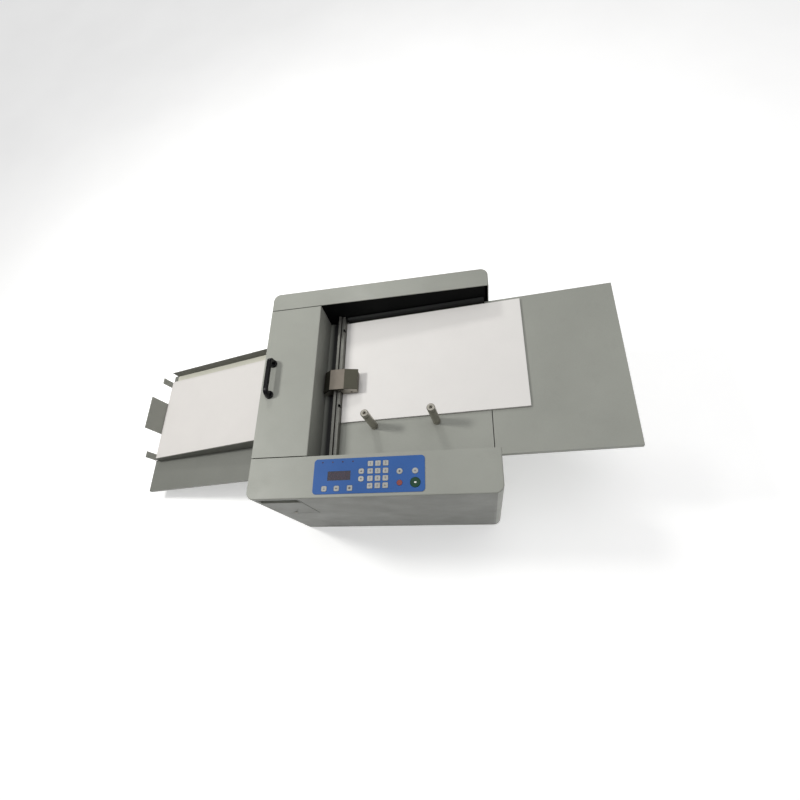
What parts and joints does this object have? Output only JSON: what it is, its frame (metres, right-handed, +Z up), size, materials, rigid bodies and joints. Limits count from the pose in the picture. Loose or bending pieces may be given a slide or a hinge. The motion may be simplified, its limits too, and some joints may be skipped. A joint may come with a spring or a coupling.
{
  "type": "franking machine",
  "caption": "Tabletop sheet-fed franking and imprinting machine with a sloping feed table, hinged head cover, keypad console and a delivery tray.",
  "frame": {"origin": "middle of the whole footprint, on the surface the feet stand on", "axes": "+X towards the feed table along the sheet travel line, +Y from the console to the back, +Z up"},
  "size_m": [1.3334, 0.5444, 0.38],
  "materials": {
    "painted_grey": "fine satin powder coat, warm light grey",
    "painted_dark": "dark grey powder coat",
    "frame_black": "black paint",
    "bright_steel": "brushed stainless steel",
    "bar_steel": "dull ground steel",
    "roller_rubber": "ground black rubber on steel shafts",
    "foot_rubber": "moulded black rubber",
    "belt_rubber": "toothed belt rubber",
    "motor_metal": "cast aluminium",
    "handle_black": "black moulded plastic",
    "overlay_blue": "blue printed film",
    "display_dark": "dark smoked lens",
    "board_green": "green circuit board",
    "paper_white": "plain uncoated paper",
    "key_white": "white moulded key",
    "key_grey": "light grey moulded key",
    "key_red": "red moulded key",
    "key_green": "dark green moulded key"
  },
  "bodies": {
    "root": {"base_pan": "painted_grey", "front_frame": "frame_black", "rear_frame": "frame_black", "console_shell": "painted_grey", "rear_casing": "painted_grey", "service_panel": "painted_grey", "rubber_feet": "foot_rubber", "casing_screws": "bright_steel", "feed_table": "painted_grey", "table_extension": "painted_grey", "rear_fence": "painted_dark", "feed_bar": "bar_steel", "gate_plate": "bar_steel", "drive_motor": "motor_metal", "timing_belt": "belt_rubber", "delivery_tray": "painted_grey", "tray_rail_rear": "painted_dark", "pivot_pins": "bright_steel", "control_overlay": "overlay_blue", "display_window": "display_dark", "control_board": "board_green", "power_inlet": "handle_black"},
    "head_cover": {"head_cover": "painted_grey", "cover_handle": "handle_black"},
    "separator": {"separator_hood": "bright_steel", "separator_block": "bar_steel"},
    "guide_post_left": {"guide_post_left": "bright_steel"},
    "guide_post_right": {"guide_post_right": "bright_steel"},
    "feed_stack": {"feed_stack": "paper_white"},
    "delivered_stack": {"delivered_stack": "paper_white"},
    "tray_rail_front": {"tray_rail_front": "painted_dark"},
    "end_stop": {"end_stop": "painted_grey"},
    "feed_roller": {"feed_roller": "roller_rubber"},
    "transport_roller": {"transport_roller": "roller_rubber"},
    "pressure_roller": {"pressure_roller": "roller_rubber"},
    "imprint_drum": {"imprint_drum": "bright_steel"},
    "impression_roller": {"impression_roller": "roller_rubber"},
    "motor_pulley": {"motor_pulley": "motor_metal"},
    "power_switch": {"power_switch": "handle_black"},
    "key_1": {"key_1": "key_white"},
    "key_2": {"key_2": "key_white"},
    "key_3": {"key_3": "key_white"},
    "key_4": {"key_4": "key_white"},
    "key_5": {"key_5": "key_white"},
    "key_6": {"key_6": "key_white"},
    "key_7": {"key_7": "key_white"},
    "key_8": {"key_8": "key_white"},
    "key_9": {"key_9": "key_white"},
    "key_clear": {"key_clear": "key_white"},
    "key_0": {"key_0": "key_white"},
    "key_enter": {"key_enter": "key_white"},
    "key_up": {"key_up": "key_white"},
    "key_down": {"key_down": "key_white"},
    "key_mode": {"key_mode": "key_white"},
    "key_speed": {"key_speed": "key_white"},
    "key_count": {"key_count": "key_white"},
    "key_test": {"key_test": "key_white"},
    "key_feed": {"key_feed": "key_grey"},
    "key_stop": {"key_stop": "key_red"},
    "key_start": {"key_start": "key_green"}
  },
  "joints": [
    {"name": "cover_hinge", "type": "hinge", "parent": "root", "child": "head_cover", "pos_m": [-0.02156, -0.00025, 0.342], "axis": [0, 1, 0], "range_deg": [0, 100]},
    {"name": "separator_slide", "type": "slide", "parent": "root", "child": "separator", "axis": [0, 1, 0], "range_m": [-0.1, 0.1]},
    {"name": "guide_post_left_slide", "type": "slide", "parent": "root", "child": "guide_post_left", "axis": [0, -1, 0], "range_m": [0, 0.07]},
    {"name": "guide_post_right_slide", "type": "slide", "parent": "root", "child": "guide_post_right", "axis": [0, -1, 0], "range_m": [0, 0.07]},
    {"name": "feed_stack_slide", "type": "slide", "parent": "root", "child": "feed_stack", "axis": [0.9981, 0, 0.0617], "range_m": [0, 0.19]},
    {"name": "delivered_stack_lift", "type": "slide", "parent": "root", "child": "delivered_stack", "axis": [-0.2125, 0, 0.9772], "range_m": [0, 0.12]},
    {"name": "tray_rail_slide", "type": "slide", "parent": "root", "child": "tray_rail_front", "axis": [0, -1, 0], "range_m": [0, 0.07]},
    {"name": "end_stop_slide", "type": "slide", "parent": "root", "child": "end_stop", "axis": [-0.9772, 0, -0.2125], "range_m": [0, 0.03]},
    {"name": "drum_spin", "type": "hinge", "parent": "root", "child": "imprint_drum", "pos_m": [-0.10806, -0.00025, 0.29058], "axis": [0, 1, 0], "continuous": true},
    {"name": "impression_spin", "type": "hinge", "parent": "root", "child": "impression_roller", "pos_m": [-0.10806, -0.00025, 0.24198], "axis": [0, 1, 0], "continuous": true},
    {"name": "transport_spin", "type": "hinge", "parent": "root", "child": "transport_roller", "pos_m": [-0.05806, -0.00025, 0.24907], "axis": [0, 1, 0], "continuous": true},
    {"name": "pressure_spin", "type": "hinge", "parent": "root", "child": "pressure_roller", "pos_m": [-0.05806, -0.00025, 0.27767], "axis": [0, 1, 0], "continuous": true},
    {"name": "feed_spin", "type": "hinge", "parent": "root", "child": "feed_roller", "pos_m": [0.05594, -0.00025, 0.25612], "axis": [0, 1, 0], "continuous": true},
    {"name": "motor_spin", "type": "hinge", "parent": "root", "child": "motor_pulley", "pos_m": [-0.00406, 0.22975, 0.13], "axis": [0, 1, 0], "continuous": true},
    {"name": "power_rocker", "type": "hinge", "parent": "root", "child": "power_switch", "pos_m": [0.32594, 0.26725, 0.098], "axis": [1, 0, 0], "range_deg": [0, 14]},
    {"name": "key_1_press", "type": "slide", "parent": "root", "child": "key_1", "axis": [0, 0, -1], "range_m": [0, 0.0006], "stiffness_N_per_m": 300, "springref_m": -0.001},
    {"name": "key_2_press", "type": "slide", "parent": "root", "child": "key_2", "axis": [0, 0, -1], "range_m": [0, 0.0006], "stiffness_N_per_m": 300, "springref_m": -0.001},
    {"name": "key_3_press", "type": "slide", "parent": "root", "child": "key_3", "axis": [0, 0, -1], "range_m": [0, 0.0006], "stiffness_N_per_m": 300, "springref_m": -0.001},
    {"name": "key_4_press", "type": "slide", "parent": "root", "child": "key_4", "axis": [0, 0, -1], "range_m": [0, 0.0006], "stiffness_N_per_m": 300, "springref_m": -0.001},
    {"name": "key_5_press", "type": "slide", "parent": "root", "child": "key_5", "axis": [0, 0, -1], "range_m": [0, 0.0006], "stiffness_N_per_m": 300, "springref_m": -0.001},
    {"name": "key_6_press", "type": "slide", "parent": "root", "child": "key_6", "axis": [0, 0, -1], "range_m": [0, 0.0006], "stiffness_N_per_m": 300, "springref_m": -0.001},
    {"name": "key_7_press", "type": "slide", "parent": "root", "child": "key_7", "axis": [0, 0, -1], "range_m": [0, 0.0006], "stiffness_N_per_m": 300, "springref_m": -0.001},
    {"name": "key_8_press", "type": "slide", "parent": "root", "child": "key_8", "axis": [0, 0, -1], "range_m": [0, 0.0006], "stiffness_N_per_m": 300, "springref_m": -0.001},
    {"name": "key_9_press", "type": "slide", "parent": "root", "child": "key_9", "axis": [0, 0, -1], "range_m": [0, 0.0006], "stiffness_N_per_m": 300, "springref_m": -0.001},
    {"name": "key_clear_press", "type": "slide", "parent": "root", "child": "key_clear", "axis": [0, 0, -1], "range_m": [0, 0.0006], "stiffness_N_per_m": 300, "springref_m": -0.001},
    {"name": "key_0_press", "type": "slide", "parent": "root", "child": "key_0", "axis": [0, 0, -1], "range_m": [0, 0.0006], "stiffness_N_per_m": 300, "springref_m": -0.001},
    {"name": "key_enter_press", "type": "slide", "parent": "root", "child": "key_enter", "axis": [0, 0, -1], "range_m": [0, 0.0006], "stiffness_N_per_m": 300, "springref_m": -0.001},
    {"name": "key_up_press", "type": "slide", "parent": "root", "child": "key_up", "axis": [0, 0, -1], "range_m": [0, 0.0006], "stiffness_N_per_m": 300, "springref_m": -0.001},
    {"name": "key_down_press", "type": "slide", "parent": "root", "child": "key_down", "axis": [0, 0, -1], "range_m": [0, 0.0006], "stiffness_N_per_m": 300, "springref_m": -0.001},
    {"name": "key_mode_press", "type": "slide", "parent": "root", "child": "key_mode", "axis": [0, 0, -1], "range_m": [0, 0.0006], "stiffness_N_per_m": 300, "springref_m": -0.001},
    {"name": "key_speed_press", "type": "slide", "parent": "root", "child": "key_speed", "axis": [0, 0, -1], "range_m": [0, 0.0006], "stiffness_N_per_m": 300, "springref_m": -0.001},
    {"name": "key_count_press", "type": "slide", "parent": "root", "child": "key_count", "axis": [0, 0, -1], "range_m": [0, 0.0006], "stiffness_N_per_m": 300, "springref_m": -0.001},
    {"name": "key_test_press", "type": "slide", "parent": "root", "child": "key_test", "axis": [0, 0, -1], "range_m": [0, 0.0006], "stiffness_N_per_m": 300, "springref_m": -0.001},
    {"name": "key_feed_press", "type": "slide", "parent": "root", "child": "key_feed", "axis": [0, 0, -1], "range_m": [0, 0.0006], "stiffness_N_per_m": 300, "springref_m": -0.001},
    {"name": "key_stop_press", "type": "slide", "parent": "root", "child": "key_stop", "axis": [0, 0, -1], "range_m": [0, 0.0006], "stiffness_N_per_m": 300, "springref_m": -0.001},
    {"name": "key_start_press", "type": "slide", "parent": "root", "child": "key_start", "axis": [0, 0, -1], "range_m": [0, 0.0006], "stiffness_N_per_m": 300, "springref_m": -0.001}
  ],
  "couplings": [
    {"joint": "impression_spin", "follows": "drum_spin", "ratio": -1},
    {"joint": "transport_spin", "follows": "drum_spin", "ratio": -1.2},
    {"joint": "feed_spin", "follows": "drum_spin", "ratio": -1.2},
    {"joint": "pressure_spin", "follows": "drum_spin", "ratio": 3},
    {"joint": "motor_spin", "follows": "drum_spin", "ratio": -1.5}
  ]
}
